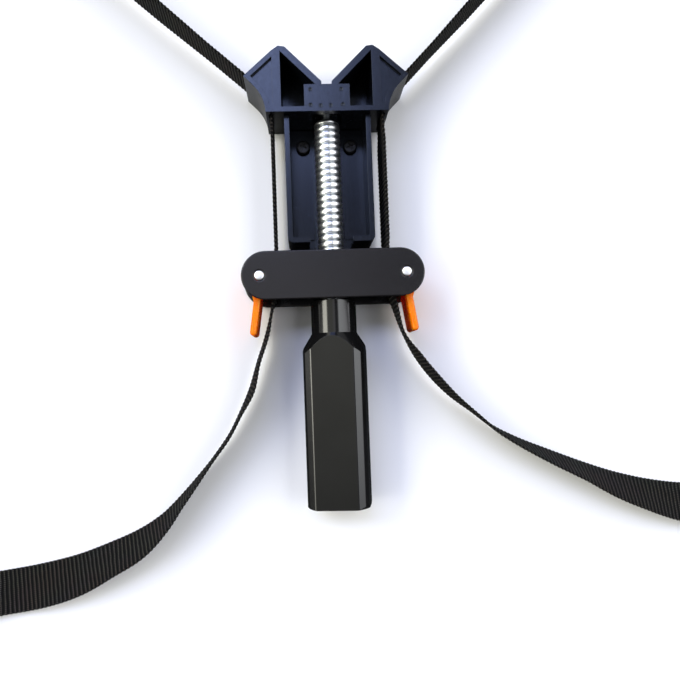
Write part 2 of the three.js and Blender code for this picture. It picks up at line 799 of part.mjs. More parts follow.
function corner_jaw() {
  const back_radius = jaw_band_offset - band_half - clearance;
  const flange_radius = back_radius + jaw_flange_rise;
  let jaw = join(
    slab(jaw_outline(flange_radius), 0, jaw_flange_thickness),
    slab(jaw_outline(back_radius), 0, head_depth),
    slab(jaw_outline(flange_radius), head_depth - jaw_flange_thickness, head_depth),
  );
  for (const side of [-1, 1]) {
    jaw = jaw.subtract(slab(jaw_pocket(side), head_floor_thickness, head_depth + overrun));
  }
  return jaw;
}

// Degrees of the straight from a point that meets a circle flush, the circle on its left (1) or right (-1)
function heading_to_circle([x, y], [centre_x, centre_y], radius, side) {
  const bearing = Math.atan2(centre_y - y, centre_x - x);
  const swing = Math.asin(radius / Math.hypot(centre_x - x, centre_y - y));
  return THREE.MathUtils.radToDeg(bearing - side * swing);
}

// Band round the work, drawn from the left guide to the right guide. It leaves each guide straight
// and turns to the nearest jaw just past the wing tip.
function band_loop_path() {
  const end_y = head_bottom_y - 2 * bottom_wall_thickness;
  const lead = band_lead / root_two;
  const right_exit = [guide_arc_end[0] + lead, guide_arc_end[1] + lead];
  const [left_exit] = on_side(-1, [right_exit]);
  const turns = free_corners.map(({ x, y, turn_degrees }) => (
    { centre: [x, y], from: turn_degrees + 135, to: turn_degrees + 45 }
  ));
  const [first, , last] = turns;
  first.from = heading_to_circle(left_exit, first.centre, jaw_band_offset, -1) + 90;
  last.to = heading_to_circle(right_exit, last.centre, jaw_band_offset, 1) - 90;
  return [
    [-side_run_x, end_y],
    ...on_side(-1, guide_arc),
    left_exit,
    ...turns.flatMap(({ centre, from, to }) => arc(...centre, jaw_band_offset, from, to, 2 * bend_steps)),
    right_exit,
    ...[...guide_arc].reverse(),
    [side_run_x, end_y],
  ];
}

function band_loop() {
  return slab(ribbon_outline(band_loop_path(), band_thickness), band_bottom_z, band_top_z);
}

const side_run_top_y = head_bottom_y - 2 * bottom_wall_thickness - clearance;
const side_run_bottom_y = crossbar_top_y + clearance;

function band_side(side) {
  return side_box(
    side, side_run_x - band_half, side_run_x + band_half,
    side_run_bottom_y, side_run_top_y, band_bottom_z, band_top_z,
  );
}

// Routes of the free tails: x, y, height of the lower edge over the bench, tilt from standing on edge
const left_tail_route = [
  [-25.4, -69, 4, 0], [-25.4, -78, 4, 0], [-26.2, -86, 4, 0], [-28.3, -94, 4, 3], [-31, -105.6, 4, 7],
  [-35.4, -118.3, 3.7, 7], [-38.8, -130.3, 3.3, 10], [-44.3, -141, 2.8, 6], [-49.6, -150.7, 2.2, 5],
  [-56.8, -160.4, 1.5, 4], [-63.9, -169.5, 0.8, 7], [-72.1, -179.5, 0.3, 12], [-80.8, -189.5, 0.1, 21],
  [-91.5, -198, 0, 33], [-105.5, -204.9, 0, 42], [-120, -211.2, 0, 56], [-136, -215.6, 0, 70],
  [-153, -218.4, 0, 80], [-169, -219.6, 0, 66], [-183, -220, 0, 40], [-196, -220, 0, 12],
  [-208, -220, 0, 0], [-222, -220, 0, 0],
];
const right_tail_route = [
  [25.4, -69, 4, 0], [25.4, -78, 4, 0], [26.4, -86, 4, 0], [28.7, -94, 4, -2], [32.1, -106.2, 4, -7],
  [38.5, -116.9, 3.4, 0], [45.9, -126.8, 2.8, 2], [54.5, -136.2, 2.2, 0], [64.2, -144.5, 1.6, -4],
  [74.1, -152.7, 1, -7], [85.9, -159.8, 0.5, -11], [99.9, -166.8, 0.2, -17], [114.4, -173.6, 0.1, -22],
  [130.3, -181.1, 0, -33], [145.6, -186.7, 0, -43], [160.5, -191, 0, -57], [175, -193.8, 0, -73],
  [189, -195.2, 0, -76], [203, -196, 0, -48], [216, -196, 0, -14], [230, -196, 0, 0], [244, -196, 0, 0],
];
const tail_steps_per_point = 3;
const roll_loops = 9;
const roll_inner_radius = 12;
const roll_pitch = 2;

// Corners of the band's section where its middle is at (x, y, z), with its width tilted about its run
function band_section(point, run, tilt) {
  const across = new THREE.Vector3(-run.y, run.x, 0).normalize();
  const width = new THREE.Vector3(0, 0, Math.cos(tilt)).addScaledVector(across, Math.sin(tilt));
  const normal = new THREE.Vector3().crossVectors(run, width).normalize();
  const corner = (w, n) => point.clone()
    .addScaledVector(width, w * band_width / 2)
    .addScaledVector(normal, n * band_half);
  return [corner(-1, -1), corner(1, -1), corner(1, 1), corner(-1, 1)];
}

// One closed strip through sections of four corners
function strip(sections) {
  const positions = sections.flat().flatMap((corner) => corner.toArray());
  const indices = [];
  for (let step = 0; step < sections.length - 1; step += 1) {
    for (let side = 0; side < 4; side += 1) {
      const a = step * 4 + side;
      const b = step * 4 + ((side + 1) % 4);
      indices.push(a, b, a + 4, b, b + 4, a + 4);
    }
  }
  const end = (sections.length - 1) * 4;
  indices.push(0, 2, 1, 0, 3, 2);
  indices.push(end, end + 1, end + 2, end, end + 2, end + 3);
  const geometry = new THREE.BufferGeometry();
  geometry.setAttribute('position', new THREE.BufferAttribute(new Float32Array(positions), 3));
  geometry.setIndex(indices);
  return geometry;
}

function middle_height(lift, tilt) {
  return lift + (band_width / 2) * Math.cos(tilt) + band_half * Math.abs(Math.sin(tilt));
}

function tail(route) {
  const places = new THREE.CatmullRomCurve3(
    route.map(([x, y, lift]) => new THREE.Vector3(x, y, lift)), false, 'centripetal',
  );
  const tilts = new THREE.CatmullRomCurve3(
    route.map(([, , , tilt], index) => new THREE.Vector3(index, tilt, 0)), false, 'centripetal',
  );
  const steps = (route.length - 1) * tail_steps_per_point;
  const sections = [];
  for (let step = 0; step <= steps; step += 1) {
    const share = step / steps;
    const place = places.getPoint(share);
    const run = places.getTangent(share).setZ(0).normalize();
    const tilt = THREE.MathUtils.degToRad(tilts.getPoint(share).y);
    const lift = Math.max(place.z, 0);
    sections.push(band_section(new THREE.Vector3(place.x, place.y, middle_height(lift, tilt)), run, tilt));
  }
  return strip(sections);
}

// The rest of each tail, rolled up on edge from the outside in, as one unbroken strip
function roll_points(route, side) {
  const [end_x, end_y] = route[route.length - 1];
  const outer_radius = roll_inner_radius + roll_loops * roll_pitch;
  const start_x = end_x + side * clearance;
  const centre_y = end_y + outer_radius;
  const points = [];
  for (let step = 0; step <= roll_loops * loop_steps; step += 1) {
    const turns = step / loop_steps;
    const radius = outer_radius - roll_pitch * turns;
    const angle = -Math.PI / 2 + side * turns * 2 * Math.PI;
    points.push(new THREE.Vector3(
      start_x + radius * Math.cos(angle), centre_y + radius * Math.sin(angle), band_width / 2,
    ));
  }
  return points;
}

function least_gap(points) {
  let least = Infinity;
  for (let i = 0; i < points.length; i += 1) {
    for (let j = i + loop_steps / 2; j < points.length - 1; j += 1) {
      const stretch = new THREE.Line3(points[j], points[j + 1]);
      const nearest = stretch.closestPointToPoint(points[i], true, new THREE.Vector3());
      least = Math.min(least, nearest.distanceTo(points[i]) - band_thickness);
    }
  }
  return least;
}

function tail_roll(route, side, name) {
  const points = roll_points(route, side);
  console.log(`${name}: least gap to itself ${least_gap(points).toFixed(3)} mm`);
  const sections = points.map((point, index) => {
    const before = points[Math.max(index - 1, 0)];
    const after = points[Math.min(index + 1, points.length - 1)];
    const run = index ? after.clone().sub(before).normalize() : new THREE.Vector3(side, 0, 0);
    return band_section(point, run, 0);
  });
  return strip(sections);
}

// Assembly
add_piece('corner_head', corner_head(), black_moulding);
add_piece('slide_channel', slide_channel(), black_moulding);
add_piece('channel_screw_left', channel_screw(-1), black_oxide);
add_piece('channel_screw_right', channel_screw(1), black_oxide);
add_piece('spindle', spindle(), zinc);
add_piece('retaining_ring', retaining_ring(), bright_steel);
add_piece('handle', handle(), gloss_black);
add_piece('front_plate', crossbar_plate(front_plate_bottom_z, true, 0), charcoal_plate);
add_piece('back_plate', crossbar_plate(0, false, back_plate_overhang), charcoal_plate);
add_piece('housing_block', housing_block(), black_moulding);
add_piece('spindle_nut', spindle_nut(), bright_steel);
for (const [name, side] of [['left', -1], ['right', 1]]) {
  add_piece(`pivot_rivet_${name}`, pivot_rivet(side), bright_steel);
  add_piece(`lever_${name}`, cam_lever(side), orange_moulding);
  add_piece(`band_side_${name}`, band_side(side), black_webbing);
}
add_piece('band_loop', band_loop(), black_webbing);
add_piece('tail_left', tail(left_tail_route), black_webbing);
add_piece('tail_right', tail(right_tail_route), black_webbing);
add_piece('tail_roll_left', tail_roll(left_tail_route, -1, 'tail_roll_left'), black_webbing);
add_piece('tail_roll_right', tail_roll(right_tail_route, 1, 'tail_roll_right'), black_webbing);

for (const { name, x, y, turn_degrees } of free_corners) {
  const jaw = add_piece(`corner_jaw_${name}`, corner_jaw(), black_moulding);
  jaw.position.set(x, y, 0);
  jaw.rotation.z = THREE.MathUtils.degToRad(turn_degrees);
}

export default clamp;
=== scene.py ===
import math

import bpy
from mathutils import Matrix, Vector


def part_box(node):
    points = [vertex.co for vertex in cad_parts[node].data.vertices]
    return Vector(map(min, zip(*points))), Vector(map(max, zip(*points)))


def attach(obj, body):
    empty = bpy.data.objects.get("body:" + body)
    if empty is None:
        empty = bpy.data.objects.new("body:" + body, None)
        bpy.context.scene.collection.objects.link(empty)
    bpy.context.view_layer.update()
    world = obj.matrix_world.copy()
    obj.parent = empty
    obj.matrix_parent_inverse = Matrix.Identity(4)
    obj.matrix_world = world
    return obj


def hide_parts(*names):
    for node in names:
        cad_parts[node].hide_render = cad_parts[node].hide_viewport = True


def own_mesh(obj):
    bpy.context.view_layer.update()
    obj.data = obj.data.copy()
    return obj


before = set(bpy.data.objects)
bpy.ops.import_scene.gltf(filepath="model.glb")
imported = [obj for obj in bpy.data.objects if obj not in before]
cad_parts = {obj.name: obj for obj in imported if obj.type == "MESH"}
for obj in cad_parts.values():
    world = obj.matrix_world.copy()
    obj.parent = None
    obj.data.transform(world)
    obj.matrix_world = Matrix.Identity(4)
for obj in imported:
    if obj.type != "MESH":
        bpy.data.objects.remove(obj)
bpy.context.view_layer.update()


# Camera
# It looks down on the clamp as it lies on its back, a little from the left and from the handle's side.
camera_data = bpy.data.cameras.new("camera")
camera = bpy.data.objects.new("camera", camera_data)
bpy.context.scene.collection.objects.link(camera)
bpy.context.scene.camera = camera
camera_data.sensor_width = 36
camera_data.lens = 34.79
camera_data.clip_start = 0.01
camera.location = (-0.01396, -0.123, 0.3168)
camera.rotation_euler = [math.radians(turn) for turn in (2.83, -3.011, -2.128)]


# Band
# One woven black band, 20 mm wide, that runs round the work, through both guides of the head,
# down to the cams of the crossbar and out into two free tails, each rolled up at its far end.
band_width = 0.020
band_thickness = 0.0014
band_middle_z = 0.014
side_run_x = 0.0254
guide_bend_radius = 0.0208
band_offset = 0.0204
jaw_band_offset = 0.0235
band_lead = 0.006
vee_y = 0.005
work_side = 0.203
corner_reach = work_side / math.sqrt(2)
work_turn_degrees = 2
work_turn = Matrix.Rotation(math.radians(work_turn_degrees), 4, "Z")
guide_corner_y = vee_y + side_run_x - band_offset * math.sqrt(2)
guide_middle = (side_run_x + guide_bend_radius, guide_corner_y - guide_bend_radius * math.tan(math.pi / 8))


def material_of(name, colour, roughness, metallic=0.0):
    """A new material with its nodes, its links and its shader"""
    material = bpy.data.materials.new(name)
    material.use_nodes = True
    nodes, links = material.node_tree.nodes, material.node_tree.links
    shader = nodes["Principled BSDF"]
    shader.inputs["Base Color"].default_value = (*colour, 1)
    shader.inputs["Roughness"].default_value = roughness
    shader.inputs["Metallic"].default_value = metallic
    return material, nodes, links, shader


def node_of(nodes, kind, values=None, **settings):
    """A new node with its settings and the values of its inputs"""
    node = nodes.new(kind)
    for setting, value in settings.items():
        setattr(node, setting, value)
    for key, value in (values or {}).items():
        node.inputs[key].default_value = value
    return node


def group_of(name, inputs, outputs):
    """A new shader group, its tree and the nodes where values come in and go out"""
    tree = bpy.data.node_groups.new(name, "ShaderNodeTree")
    for socket, kind, value in inputs:
        made = tree.interface.new_socket(name=socket, in_out="INPUT", socket_type=kind)
        made.default_value = value
    for socket, kind in outputs:
        tree.interface.new_socket(name=socket, in_out="OUTPUT", socket_type=kind)
    return tree, tree.nodes.new("NodeGroupInput"), tree.nodes.new("NodeGroupOutput")


def bumped(nodes, links, shader, height, strength, distance):
    """A fine relief on the surface"""
    bump = node_of(nodes, "ShaderNodeBump", {"Strength": strength, "Distance": distance})
    links.new(height, bump.inputs["Height"])
    links.new(bump.outputs["Normal"], shader.inputs["Normal"])


def ramp_of(nodes, links, value, stops):
    """Colours or greys along a value"""
    ramp = nodes.new("ShaderNodeValToRGB")
    while len(ramp.color_ramp.elements) < len(stops):
        ramp.color_ramp.elements.new(0.5)
    for element, (place, colour) in zip(ramp.color_ramp.elements, stops):
        element.position = place
        element.color = (*colour, 1)
    links.new(value, ramp.inputs["Fac"])
    return ramp.outputs["Color"]


def uneven_gloss(nodes, links, shader, value, low, high):
    """Roughness that drifts between two values"""
    gloss = node_of(nodes, "ShaderNodeMapRange", {
        "From Min": 0.3, "From Max": 0.7, "To Min": low, "To Max": high,
    })
    links.new(value, gloss.inputs["Value"])
    links.new(gloss.outputs["Result"], shader.inputs["Roughness"])


def choose(piece):
    """The piece becomes the only one selected, and active"""
    bpy.ops.object.select_all(action="DESELECT")
    piece.select_set(True)
    bpy.context.view_layer.objects.active = piece


def added(primitive, **settings):
    """A new primitive, which becomes the only piece selected"""
    bpy.ops.object.select_all(action="DESELECT")
    primitive(**settings)
    return bpy.context.object


def edit(piece):
    choose(piece)
    bpy.ops.object.mode_set(mode="EDIT")


def done():
    bpy.ops.object.mode_set(mode="OBJECT")


# The weave is drawn on the band's own map, which holds metres along and across it:
# weft ribs straight across, columns of warp yarn, and fuzz that breaks both up.
# The ribs' tops are painted pale as a highlight, and the hollows between them near black as painted shade.
rib_pitch = 0.0020
rib_rise, scallop = 0.00024, 0.00034
column_pitch = 0.00091
wave_length = 2 * math.pi / 20

webbing, nodes, links, shader = material_of("black_webbing", (0.02, 0.02, 0.022), 0.8)
shader.inputs["Sheen Weight"].default_value = 0.02
shader.inputs["Sheen Roughness"].default_value = 0.45
shader.inputs["Specular IOR Level"].default_value = 0.15
places = node_of(nodes, "ShaderNodeUVMap", uv_map="weave")
ribs = node_of(nodes, "ShaderNodeTexWave", {
    "Scale": wave_length / rib_pitch, "Distortion": 0.9, "Detail": 1.5, "Detail Scale": 1.6,
}, wave_type="BANDS", bands_direction="X")
columns = node_of(nodes, "ShaderNodeTexWave", {
    "Scale": wave_length / column_pitch, "Distortion": 0.3, "Detail": 0.0, "Detail Scale": 0.3,
}, wave_type="BANDS", bands_direction="Y")
fuzz = node_of(nodes, "ShaderNodeTexNoise", {"Scale": 2600.0, "Detail": 2.0, "Roughness": 0.6})
wear = node_of(nodes, "ShaderNodeTexNoise", {"Scale": 60.0, "Detail": 3.0, "Roughness": 0.6})
for texture in (ribs, columns, fuzz, wear):
    links.new(places.outputs["UV"], texture.inputs["Vector"])
yarn = node_of(nodes, "ShaderNodeMath", {1: 0.45}, operation="MULTIPLY")
links.new(columns.outputs["Fac"], yarn.inputs[0])
weave = node_of(nodes, "ShaderNodeMath", operation="ADD")
links.new(ribs.outputs["Fac"], weave.inputs[0])
links.new(yarn.outputs["Value"], weave.inputs[1])
fuzzed = node_of(nodes, "ShaderNodeMath", {1: 0.3, 2: 0.0}, operation="MULTIPLY_ADD")
links.new(fuzz.outputs["Fac"], fuzzed.inputs[0])
links.new(weave.outputs["Value"], fuzzed.inputs[2])
bumped(nodes, links, shader, fuzzed.outputs["Value"], 0.9, 0.0004)
shade = node_of(nodes, "ShaderNodeMath", {1: 0.55, 2: -0.08}, operation="MULTIPLY_ADD")
links.new(fuzzed.outputs["Value"], shade.inputs[0])
# Painted highlight and shade: the ribs' tops are painted pale and the hollows between them near black, over
# the yarns' own pattern.
weave_tone_and_painted_rib_light = ramp_of(nodes, links, shade.outputs["Value"], [
    (0.30, (0.0003, 0.0003, 0.0004)), (0.55, (0.0012, 0.0012, 0.0014)), (0.84, (0.085, 0.077, 0.065)),
])
dusted = node_of(nodes, "ShaderNodeMix", {"Factor": 0.4}, data_type="RGBA", blend_type="OVERLAY")
links.new(weave_tone_and_painted_rib_light, dusted.inputs["A"])
links.new(wear.outputs["Color"], dusted.inputs["B"])
links.new(dusted.outputs["Result"], shader.inputs["Base Color"])


# Half of the band's section from its edge inwards, as shares of half its width and half its thickness.
selvedge = [(1.0, 0.0), (0.985, 0.55), (0.955, 0.86), (0.9, 1.0), (0.3, 1.0)]
run_step, band_smooth_degrees = 0.0005, 50


def band_piece(name, places):
    """A ribbed band along places of (middle, run, tilt), with scalloped selvedges and its map in metres"""
    half, thin = band_width / 2, band_thickness / 2
    upper = [(-half * across, thin * up) for across, up in selvedge]
    upper += [(half * across, thin * up) for across, up in reversed(selvedge)]
    section = upper + [(across, -up) for across, up in reversed(upper[1:-1])]
    count = len(section)
    around = [0.0]
    for (a, b), (c, d) in zip(section, section[1:] + section[:1]):
        around.append(around[-1] + math.hypot(c - a, d - b))
    corners, along = [], []
    for index, (middle, run, tilt) in enumerate(places):
        aside = Vector((-run.y, run.x, 0)).normalized()
        width = Vector((0, 0, math.cos(tilt))) + aside * math.sin(tilt)
        normal = run.cross(width).normalized()
        step = (middle - places[index - 1][0]).length if index else 0.0
        along.append(along[-1] + step if index else 0.0)
        valley = 0.5 + 0.5 * math.cos(2 * math.pi * along[-1] / rib_pitch) if step < rib_pitch / 3 else 0.0
        narrow, flat = 1 - valley * scallop / half, 1 - valley * rib_rise / thin
        corners += [middle + width * across * narrow + normal * up * flat for across, up in section]
    faces, marks = [], []
    for step in range(len(places) - 1):
        for side in range(count):
            after = (side + 1) % count
            faces.append([step * count + side, step * count + after,
                          (step + 1) * count + after, (step + 1) * count + side])
            marks.append([(along[step], around[side]), (along[step], around[side + 1]),
                          (along[step + 1], around[side + 1]), (along[step + 1], around[side])])
    last = (len(places) - 1) * count
    for end, face in ((0.0, range(count - 1, -1, -1)), (along[-1], range(last, last + count))):
        faces.append(list(face))
        marks.append([(end, around[corner % count]) for corner in face])
    mesh = bpy.data.meshes.new(name)
    mesh.from_pydata(corners, [], faces)
    layer = mesh.uv_layers.new(name="weave")
    for loop, mark in zip(layer.data, [mark for face in marks for mark in face]):
        loop.uv = mark
    mesh.materials.append(webbing)
    piece = bpy.data.objects.new(name, mesh)
    bpy.context.scene.collection.objects.link(piece)
    edit(piece)
    bpy.ops.mesh.select_all(action="SELECT")
    bpy.ops.mesh.normals_make_consistent(inside=False)
    done()
    bpy.ops.object.shade_smooth_by_angle(angle=math.radians(band_smooth_degrees))
    return piece, along[-1]


def on_arc(middle, radius, start, stop, steps):
    turns = [math.radians(start + (stop - start) * step / steps) for step in range(steps + 1)]
    return [Vector((middle[0] + radius * math.cos(turn), middle[1] + radius * math.sin(turn), band_middle_z))
            for turn in turns]


def with_runs(points, lean_at=lambda point: 0.0):
    """Each point with the way the band runs there and its lean from standing on edge"""
    ends = [points[0]] + points + [points[-1]]
    return [(point, (after - before).normalized(), lean_at(point))
            for before, point, after in zip(ends, points, ends[2:])]


def filled_in(points, step):
    """More points along straight stretches, so that no face is very long"""
    full = [points[0]]
    for start, stop in zip(points, points[1:]):
        parts = max(1, math.ceil((stop - start).length / step))
        full += [start.lerp(stop, part / parts) for part in range(1, parts + 1)]
    return full


def heading_to_jaw(leave, corner, side):
    """Way in degrees from where the band leaves a guide to the side of its circle round a corner"""
    reach = corner - leave
    return math.degrees(math.atan2(reach.y, reach.x) - side * math.asin(jaw_band_offset / reach.length))


# The work sits a little turned in the vee, so the loop's free runs leave the head at unlike angles.
loop_end_y = -0.0109
guide_steps, jaw_steps = 20, 36
guide_turn = on_arc(guide_middle, guide_bend_radius, 180, 135, guide_steps)
guide_turn.append(guide_turn[-1] + Vector((1, 1, 0)).normalized() * band_lead)
left_turn = [Vector((-point.x, point.y, point.z)) for point in guide_turn]
free_corners = [
    work_turn @ Vector((x, y, 0)) + Vector((0, vee_y, band_middle_z))
    for x, y in ((-corner_reach, corner_reach), (0, 2 * corner_reach), (corner_reach, corner_reach))
]
first_heading = heading_to_jaw(left_turn[-1], free_corners[0], -1)
last_heading = heading_to_jaw(guide_turn[-1], free_corners[2], 1)
loop = [Vector((-side_run_x, loop_end_y, band_middle_z))] + left_turn
upper_left, upper_right = 135 + work_turn_degrees, 45 + work_turn_degrees
starts = (first_heading + 90, upper_left, upper_right)
stops = (upper_left, upper_right, last_heading - 90)
for corner, start, stop in zip(free_corners, starts, stops):
    loop += on_arc(corner, jaw_band_offset, start, stop, jaw_steps)
loop += guide_turn[::-1] + [Vector((side_run_x, loop_end_y, band_middle_z))]
free_run_low_y, free_run_high_y, run_lean, lean_fade = 0.028, 0.130, math.radians(4.5), 0.02


def free_run_lean(point):
    """The free runs lean in over the work between the head and the side jaws"""
    inside = min(point.y - free_run_low_y, free_run_high_y - point.y)
    return -run_lean * min(max(inside / lean_fade, 0.0), 1.0)


band_loop, loop_length = band_piece("webbing_loop", with_runs(filled_in(loop, run_step), free_run_lean))
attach(band_loop, "head")
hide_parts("band_loop")

# The two straight runs from the head to the crossbar, made at one length; on the clamp they grow shorter as
# the crossbar slides up.
side_top_y, side_bottom_y = -0.0112, -0.0684
side_lean_fade = 0.006
right_run_lean = math.radians(-2.4)


def side_run_lean(most):
    """Lean that fades in and out near the two ends of a side run"""
    def lean_at(point):
        inside = min(point.y - side_bottom_y, side_top_y - point.y)
        return most * min(max(inside / side_lean_fade, 0.0), 1.0)
    return lean_at


for side, word, most in ((-1, "left", 0.0), (1, "right", right_run_lean)):
    ends = [Vector((side * side_run_x, y, band_middle_z)) for y in (side_bottom_y, side_top_y)]
    run_places = with_runs(filled_in(ends, run_step), side_run_lean(most))
    run, run_length = band_piece(f"webbing_run_{word}", run_places)
    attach(run, "head")
    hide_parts(f"band_side_{word}")
    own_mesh(run)

# Routes of the tails in millimetres: x, y, height of the lower edge, and tilt from standing on edge.
left_route = [
    (-25.4, -69, 4, 0), (-25.4, -78, 4, 0), (-26.2, -86, 4, 0), (-28.3, -94, 4, 3), (-31, -105.6, 4, 7),
    (-35.4, -118.3, 3.7, 7), (-38.8, -130.3, 3.3, 10), (-44.3, -141, 2.8, 6), (-49.6, -150.7, 2.2, 5),
    (-56.8, -160.4, 1.5, 4), (-63.9, -169.5, 0.8, 7), (-72.1, -179.5, 0.3, 12), (-80.8, -189.5, 0.1, 21),
    (-91.5, -198, 0, 33), (-105.5, -204.9, 0, 42), (-120, -211.2, 0, 56), (-136, -215.6, 0, 70),
    (-153, -218.4, 0, 80), (-169, -219.6, 0, 66), (-183, -220, 0, 40), (-196, -220, 0, 12),
    (-208, -220, 0, 0), (-222, -220, 0, 0),
]
right_route = [
    (25.4, -69, 4, 0), (25.4, -78, 4, 0), (26.4, -86, 4, 0), (28.7, -94, 4, -2), (32.1, -106.2, 4, -7),
    (38.5, -116.9, 3.4, 0), (45.9, -126.8, 2.8, 2), (54.5, -136.2, 2.2, 0), (64.2, -144.5, 1.6, -4),
    (74.1, -152.7, 1, -7), (85.9, -159.8, 0.5, -11), (99.9, -166.8, 0.2, -17), (114.4, -173.6, 0.1, -22),
    (130.3, -181.1, 0, -33), (145.6, -186.7, 0, -43), (160.5, -191, 0, -57), (175, -193.8, 0, -73),
    (189, -195.2, 0, -76), (203, -196, 0, -48), (216, -196, 0, -14), (230, -196, 0, 0), (244, -196, 0, 0),
]
millimetre = 0.001
# A tilt enters the smooth curve beside the number of its point, about in degrees.
tail_steps, tilt_weight = 32, 57.3
roll_loops, roll_steps = 9, 48
roll_outer, roll_pitch, roll_gap = 0.030, 0.002, 0.0003


def between(points, index, share):
    """Place on the smooth curve through the points, a share of the way from one to the next"""
    first, second = points[index], points[index + 1]
    before = points[index - 1] if index else first * 2 - second
    after = points[index + 2] if index + 2 < len(points) else second * 2 - first
    pairs = ((before, first), (first, second), (second, after))
    d0, d1, d2 = (max((b - a).length, 1e-9) ** 0.5 for a, b in pairs)
    leave = ((first - before) / d0 - (second - before) / (d0 + d1) + (second - first) / d1) * d1
    reach = ((second - first) / d1 - (after - first) / (d1 + d2) + (after - second) / d2) * d1
    return (first + leave * share + (second * 3 - first * 3 - leave * 2 - reach) * share ** 2
            + (first * 2 - second * 2 + leave + reach) * share ** 3)


def tail_places(route, side):
    """Places along a tail's route and then round its roll, from the outer turn inwards"""
    points = [Vector((x, y, lift)) * millimetre for x, y, lift, _ in route]
    tilts = [Vector((index, math.radians(tilt) * tilt_weight)) for index, (*_, tilt) in enumerate(route)]
    spots, leans = [], []
    for index in range(len(route) - 1):
        for step in range(tail_steps):
            spots.append(between(points, index, step / tail_steps))
            leans.append(between(tilts, index, step / tail_steps).y / tilt_weight)
    for spot, lean in zip(spots, leans):
        spot.z = max(spot.z, 0.0) + (band_width * math.cos(lean) + band_thickness * abs(math.sin(lean))) / 2
    start_x, start_y = points[-1].x + side * roll_gap, points[-1].y + roll_outer
    for step in range(roll_loops * roll_steps + 1):
        turns = step / roll_steps
        radius, angle = roll_outer - roll_pitch * turns, -math.pi / 2 + side * turns * 2 * math.pi
        spots.append(Vector((
            start_x + radius * math.cos(angle), start_y + radius * math.sin(angle), band_width / 2,
        )))
        leans.append(0.0)
    ends = [spots[0]] + spots + [spots[-1]]
    runs = [after - before for before, after in zip(ends, ends[2:])]
    return [(spot, Vector((run.x, run.y, 0)).normalized(), lean)
            for spot, run, lean in zip(spots, runs, leans)]


for side, word, route in ((-1, "left", left_route), (1, "right", right_route)):
    tail, tail_length = band_piece(f"webbing_tail_{word}", tail_places(route, side))
    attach(tail, "crossbar")
    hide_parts(f"tail_{word}", f"tail_roll_{word}")


# Corner head
# One black plastic moulding: a vee for the work, ribs round open pockets,
# a thrust block for the spindle and a curved guide for the band on each side.
weld_distance, node_weld_distance, node_flat_degrees = 0.000005, 0.000004, 0.6


def apply_modifier(piece, kind, **settings):
    choose(piece)
    modifier = piece.modifiers.new(kind.lower(), kind)
    for setting, value in settings.items():
        setattr(modifier, setting, value)
    bpy.ops.object.modifier_apply(modifier=modifier.name)


def cut_away(piece, tool):
    apply_modifier(piece, "BOOLEAN", operation="DIFFERENCE", solver="EXACT", object=tool)
    bpy.data.objects.remove(tool)


def finished(piece, material, smooth=30):
    """Place in the mesh, one material, and smooth shading over small angles that leaves flats flat"""
    choose(piece)
    bpy.ops.object.transform_apply(location=True, rotation=True, scale=True)
    bpy.ops.object.shade_smooth_by_angle(angle=math.radians(smooth))
    apply_modifier(piece, "WEIGHTED_NORMAL", keep_sharp=True, weight=80)
    piece.data.materials.clear()
    piece.data.materials.append(material)


def round_edges(piece, radius, steps=3, over=28):
    apply_modifier(
        piece, "BEVEL", width=radius, segments=steps, limit_method="ANGLE",
        angle_limit=math.radians(over), miter_outer="MITER_ARC", use_clamp_overlap=True,
    )


def from_node(node, name):
    """A node's solid with its points merged and its flat faces made whole, ready to be finished"""
    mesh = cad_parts[node].data.copy()
    mesh.name = name
    mesh.materials.clear()
    piece = bpy.data.objects.new(name, mesh)
    bpy.context.scene.collection.objects.link(piece)
    edit(piece)
    bpy.ops.mesh.select_all(action="SELECT")
    bpy.ops.mesh.remove_doubles(threshold=node_weld_distance)
    bpy.ops.mesh.dissolve_limited(angle_limit=math.radians(node_flat_degrees))
    done()
    return piece


# The surface of the mouldings: a fine grain, a slow drift of shade and scuffs in the gloss.
moulded_surface, come, go = group_of("moulded_surface", [
    ("Grain Scale", "NodeSocketFloat", 2500.0), ("Mottle Scale", "NodeSocketFloat", 90.0),
    ("Scuff Scale", "NodeSocketFloat", 400.0),
], [("Grain", "NodeSocketFloat"), ("Mottle", "NodeSocketFloat"), ("Scuff", "NodeSocketFloat")])
nodes, links = moulded_surface.nodes, moulded_surface.links
spot = node_of(nodes, "ShaderNodeTexCoord")
grain = node_of(nodes, "ShaderNodeTexNoise", {"Detail": 3.0, "Roughness": 0.6})
mottle = node_of(nodes, "ShaderNodeTexNoise", {"Detail": 2.0, "Roughness": 0.5})
scuff = node_of(nodes, "ShaderNodeTexNoise", {"Detail": 5.0, "Roughness": 0.7, "Distortion": 1.5})
for socket, texture, out in (("Grain Scale", grain, "Grain"), ("Mottle Scale", mottle, "Mottle"),
                             ("Scuff Scale", scuff, "Scuff")):
    links.new(come.outputs[socket], texture.inputs["Scale"])
    links.new(spot.outputs["Object"], texture.inputs["Vector"])
    links.new(texture.outputs["Fac"], go.inputs[out])


def moulded(name, colour, pale, roughness, spread, grain_depth, scales=(2500.0, 90.0, 400.0)):
    """Plastic whose colour drifts between two shades and whose gloss is uneven"""
    material, nodes, links, shader = material_of(name, colour, roughness)
    surface = node_of(nodes, "ShaderNodeGroup", {
        "Grain Scale": scales[0], "Mottle Scale": scales[1], "Scuff Scale": scales[2],
    }, node_tree=moulded_surface)
    drift = ramp_of(nodes, links, surface.outputs["Mottle"], [(0.3, colour), (0.75, pale)])
    links.new(drift, shader.inputs["Base Color"])
    uneven_gloss(nodes, links, shader, surface.outputs["Scuff"], roughness - spread, roughness + spread)
    bumped(nodes, links, shader, surface.outputs["Grain"], 0.35, grain_depth)
    return material, shader


black_moulding, shader = moulded(
    "black_moulding", (0.0022, 0.0025, 0.0042), (0.0036, 0.0042, 0.0072), 0.24, 0.04, 0.00002,
)
shader.inputs["Specular Tint"].default_value = (0.70, 0.80, 1.0, 1)

